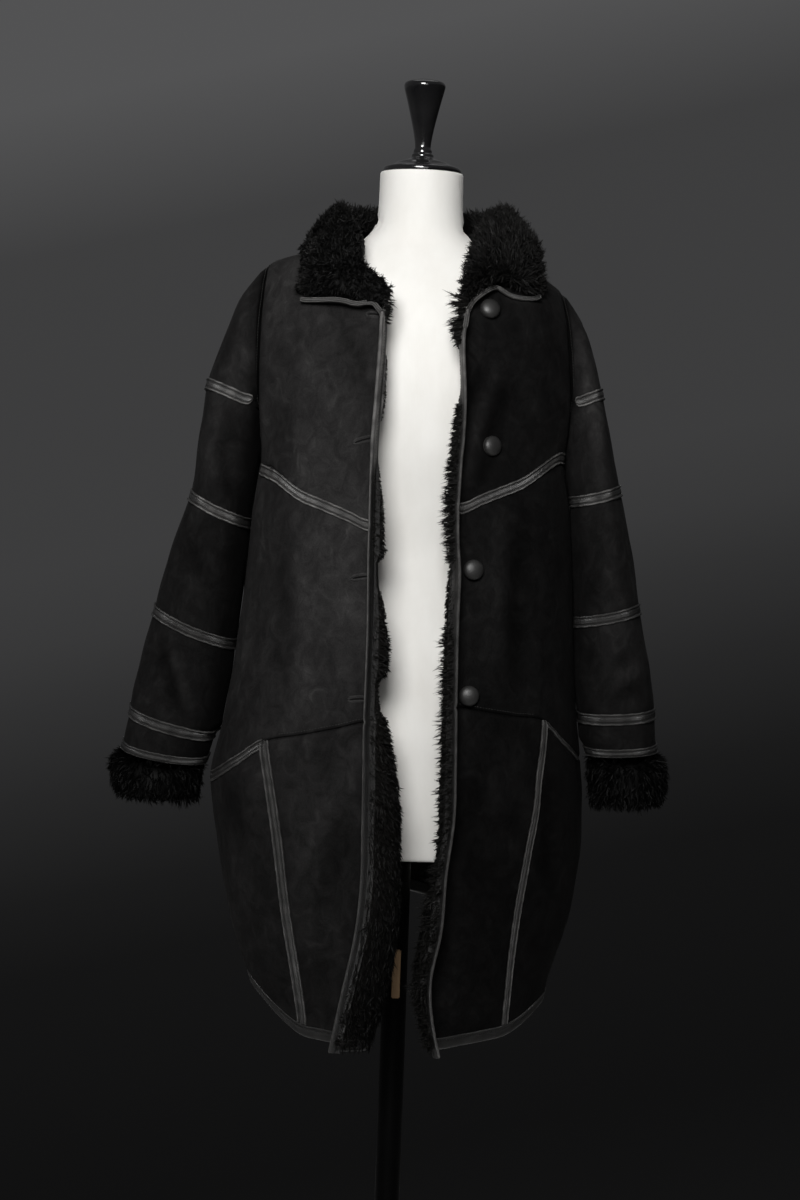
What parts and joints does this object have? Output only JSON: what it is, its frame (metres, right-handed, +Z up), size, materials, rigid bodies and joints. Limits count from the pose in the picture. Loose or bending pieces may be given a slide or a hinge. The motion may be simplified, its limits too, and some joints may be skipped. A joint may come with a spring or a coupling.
{
  "type": "shearling coat on a limbless dress form with a stand",
  "caption": "Three-quarter shearling coat worn open on a limbless dress form: fur collar and cuffs, leather seam strips, bound edges and covered buttons, on a round-based stand.",
  "frame": {"origin": "centre of the stand's base on the floor", "axes": "+Z up; the coat's open front faces -Y; +X is to the right of someone who looks at its front"},
  "size_m": [0.6276, 0.3941, 1.579],
  "materials": {
    "suede": "napped black suede outside, clipped black wool inside",
    "leather": "smooth black leather with a low sheen",
    "fur": "curly black shearling pile",
    "form_cover": "tight off-white linen jersey, matt",
    "lacquer": "turned wood, glossy black lacquer",
    "stand_metal": "black paint, satin",
    "peg_wood": "light bare wood"
  },
  "bodies": {
    "root": {"back_lower": "suede", "back_upper": "suede", "button_1": "leather", "button_2": "leather", "button_3": "leather", "button_4": "leather", "chest_band_left": "leather", "chest_band_right": "leather", "collar": "fur", "collar_binding_left": "leather", "collar_binding_right": "leather", "cuff_trim_left": "leather", "cuff_trim_right": "leather", "form_finial": "lacquer", "form_torso": "form_cover", "front_binding_left": "leather", "front_binding_right": "leather", "front_lower_left": "suede", "front_lower_right": "suede", "front_middle_left": "suede", "front_middle_right": "suede", "front_yoke_left": "suede", "front_yoke_right": "suede", "fur_cuff_left": "fur", "fur_cuff_right": "fur", "hem_binding_back": "leather", "hem_binding_left": "leather", "hem_binding_right": "leather", "pocket_mouth_left": "leather", "pocket_mouth_right": "leather", "pocket_panel_left": "suede", "pocket_panel_right": "suede", "pocket_strip_left": "leather", "pocket_strip_right": "leather", "sleeve_1_left": "suede", "sleeve_1_right": "suede", "sleeve_2_left": "suede", "sleeve_2_right": "suede", "sleeve_3_left": "suede", "sleeve_3_right": "suede", "sleeve_4_left": "suede", "sleeve_4_right": "suede", "sleeve_5_left": "suede", "sleeve_5_right": "suede", "sleeve_band_1_left": "leather", "sleeve_band_1_right": "leather", "sleeve_band_2_left": "leather", "sleeve_band_2_right": "leather", "sleeve_band_3_left": "leather", "sleeve_band_3_right": "leather", "sleeve_band_4_left": "leather", "sleeve_band_4_right": "leather", "stand_base": "stand_metal", "stand_peg": "peg_wood", "stand_pole": "stand_metal"}
  },
  "joints": []
}
